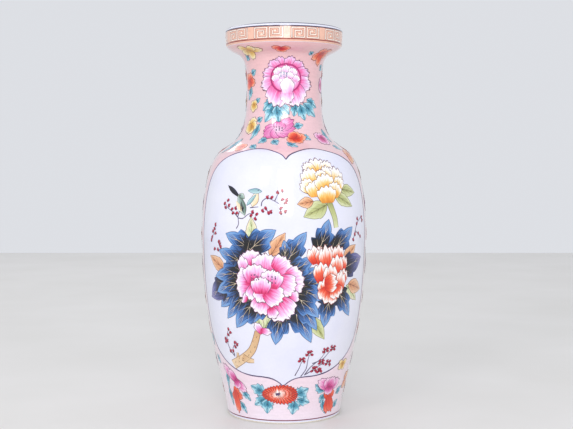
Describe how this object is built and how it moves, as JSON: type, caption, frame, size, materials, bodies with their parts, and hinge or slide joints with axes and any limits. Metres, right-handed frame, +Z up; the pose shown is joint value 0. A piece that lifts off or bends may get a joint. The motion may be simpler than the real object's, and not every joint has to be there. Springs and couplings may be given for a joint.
{
  "type": "porcelain floor vase",
  "caption": "Tall baluster porcelain vase with a waisted neck, galleried mouth and painted flower panels, standing on a foot ring.",
  "frame": {"origin": "centre of the foot ring, on the surface that the vase stands on", "axes": "+Z up along the vase's axis towards the mouth; -Y is the side with the front panel, +X to its right"},
  "size_m": [0.2616, 0.2616, 0.61],
  "materials": {
    "biscuit_porcelain": "matte, unglazed, faintly gritty",
    "luting_slip": "matte",
    "outer_glaze": "high gloss, cool white",
    "inner_glaze": "gloss, white",
    "blush_enamel": "gloss, opaque pink ground",
    "fret_enamel": "gloss, peach ground with pale fret lines",
    "night_blue_enamel": "gloss line",
    "iron_red_enamel": "gloss line",
    "rose_enamel": "gloss, shaded from white to deep rose",
    "coral_enamel": "gloss, shaded from pale to coral red",
    "yellow_enamel": "gloss, shaded from cream to amber",
    "cobalt_leaf_enamel": "gloss, blue shaded to black",
    "turquoise_leaf_enamel": "gloss, turquoise shaded to deep teal",
    "olive_leaf_enamel": "gloss, pale green",
    "bark_enamel": "gloss, tan with brown outline"
  },
  "bodies": {
    "root": {"foot_section": "biscuit_porcelain", "lower_body_section": "biscuit_porcelain", "upper_body_section": "biscuit_porcelain", "neck_section": "biscuit_porcelain", "mouth_section": "biscuit_porcelain", "foot_slip_joint": "luting_slip", "belly_slip_joint": "luting_slip", "shoulder_slip_joint": "luting_slip", "mouth_slip_joint": "luting_slip", "outer_glaze": "outer_glaze", "inner_glaze": "inner_glaze", "foot_hollow_glaze": "inner_glaze", "fret_band_enamel": "fret_enamel", "band_edge_line": "iron_red_enamel", "rim_line": "night_blue_enamel", "lip_line": "night_blue_enamel", "foot_line": "iron_red_enamel"}
  },
  "joints": []
}
